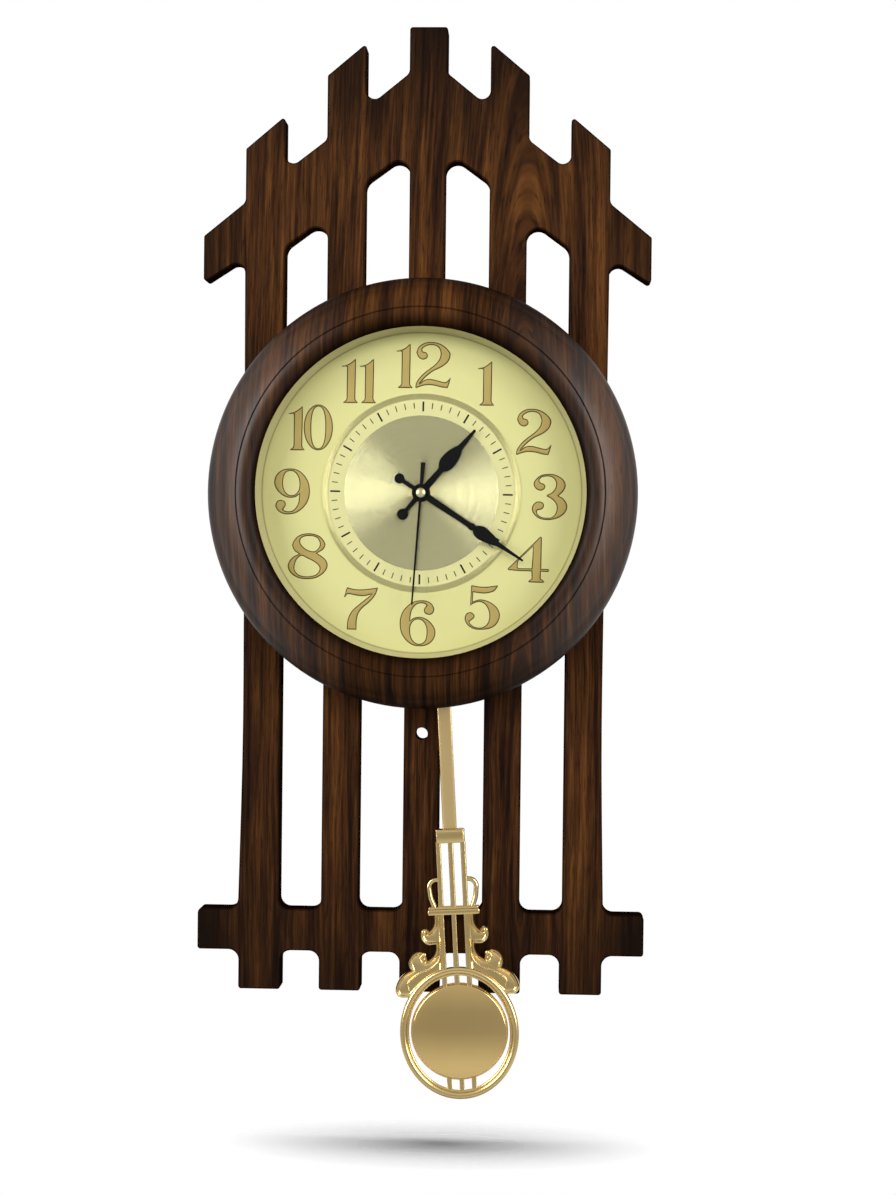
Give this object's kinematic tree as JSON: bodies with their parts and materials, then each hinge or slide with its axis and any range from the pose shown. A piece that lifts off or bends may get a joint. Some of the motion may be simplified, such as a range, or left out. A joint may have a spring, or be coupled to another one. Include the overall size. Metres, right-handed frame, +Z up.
{
  "type": "pendulum wall clock",
  "caption": "Wall-hung quartz clock: openwork dark walnut slatted board, round wooden case with a numbered dial and hands, and a gold lyre pendulum that swings below.",
  "frame": {"origin": "centre of the keyhole's round entry in the hanger plate, on the wall plane at the back of the board", "axes": "+Z up, +Y into the wall, so the dial faces -Y, and +X to the viewer's right"},
  "size_m": [0.2688, 0.0625, 0.6421],
  "materials": {
    "walnut": "satin dark walnut",
    "fibreboard": "raw fibreboard",
    "glass": "clear",
    "gold": "polished gold-coloured metal",
    "dial_cream": "satin cream-yellow paint",
    "black_paint": "satin black",
    "steel": "bright zinc",
    "black_plastic": "moulded black",
    "white_plastic": "moulded white",
    "rubber": "soft black",
    "brass": "turned brass",
    "copper": "enamelled copper wire",
    "pcb": "green laminate",
    "cell": "plain printed sleeve",
    "magnet": "sintered dark grey",
    "crystal_can": "bright can"
  },
  "bodies": {
    "clock": {"backboard": "walnut", "case_ring": "walnut", "hanger_plate": "steel", "hanger_screws": "steel", "case_screws": "steel", "glass_lens": "glass", "spacer_ring": "gold", "dial_plate": "dial_cream", "dial_centre_disc": "gold", "chapter_ring": "dial_cream", "dial_backing": "fibreboard", "backing_screws": "steel", "movement_case": "black_plastic", "movement_cover": "black_plastic", "rubber_washer": "rubber", "bush_nut": "brass", "battery": "cell", "contact_positive": "steel", "contact_negative": "steel", "circuit_board": "pcb", "quartz_crystal": "crystal_can", "motor_stator": "steel", "motor_coil": "copper", "pendulum_coil": "copper", "pivot_pin": "steel"},
    "second": {"second_hand": "black_paint", "second_cap": "gold", "seconds_wheel": "white_plastic"},
    "minute": {"minute_hand": "black_paint", "cannon_pinion": "brass", "centre_wheel": "white_plastic"},
    "hour": {"hour_hand": "black_paint", "hour_wheel": "white_plastic"},
    "third": {"third_wheel": "white_plastic"},
    "intermediate": {"intermediate_wheel": "white_plastic"},
    "rotor": {"rotor_magnet": "magnet", "rotor_pinion": "white_plastic"},
    "setting": {"minute_wheel": "white_plastic", "setting_knob": "black_plastic"},
    "pendulum": {"pendulum_lever": "white_plastic", "drive_magnet": "magnet", "pendulum_rod": "gold", "lyre_frame": "gold", "bob_disc": "gold"}
  },
  "joints": [
    {"name": "second_turn", "type": "hinge", "parent": "clock", "child": "second", "pos_m": [0, -0.045, -0.222], "axis": [0, 1, 0], "continuous": true},
    {"name": "minute_turn", "type": "hinge", "parent": "clock", "child": "minute", "pos_m": [0, -0.04, -0.222], "axis": [0, 1, 0], "continuous": true},
    {"name": "hour_turn", "type": "hinge", "parent": "clock", "child": "hour", "pos_m": [0, -0.042, -0.222], "axis": [0, 1, 0], "continuous": true},
    {"name": "third_turn", "type": "hinge", "parent": "clock", "child": "third", "pos_m": [0.01142, -0.031, -0.21784], "axis": [0, 1, 0], "continuous": true},
    {"name": "intermediate_turn", "type": "hinge", "parent": "clock", "child": "intermediate", "pos_m": [-0.00431, -0.031, -0.23384], "axis": [0, 1, 0], "continuous": true},
    {"name": "rotor_turn", "type": "hinge", "parent": "clock", "child": "rotor", "pos_m": [0.00556, -0.031, -0.23743], "axis": [0, 1, 0], "continuous": true},
    {"name": "setting_turn", "type": "hinge", "parent": "clock", "child": "setting", "pos_m": [-0.0128, -0.028, -0.21974], "axis": [0, 1, 0], "continuous": true},
    {"name": "pendulum_swing", "type": "hinge", "parent": "clock", "child": "pendulum", "pos_m": [0.0052, -0.0205, -0.206], "axis": [0, -1, 0], "range_deg": [-9.85, 3.15]}
  ],
  "couplings": [
    {"joint": "minute_turn", "follows": "second_turn", "ratio": 0.016667},
    {"joint": "hour_turn", "follows": "second_turn", "ratio": 0.0013889},
    {"joint": "third_turn", "follows": "second_turn", "ratio": -0.13333},
    {"joint": "intermediate_turn", "follows": "second_turn", "ratio": -5},
    {"joint": "rotor_turn", "follows": "second_turn", "ratio": 30},
    {"joint": "setting_turn", "follows": "second_turn", "ratio": -0.0055556}
  ]
}
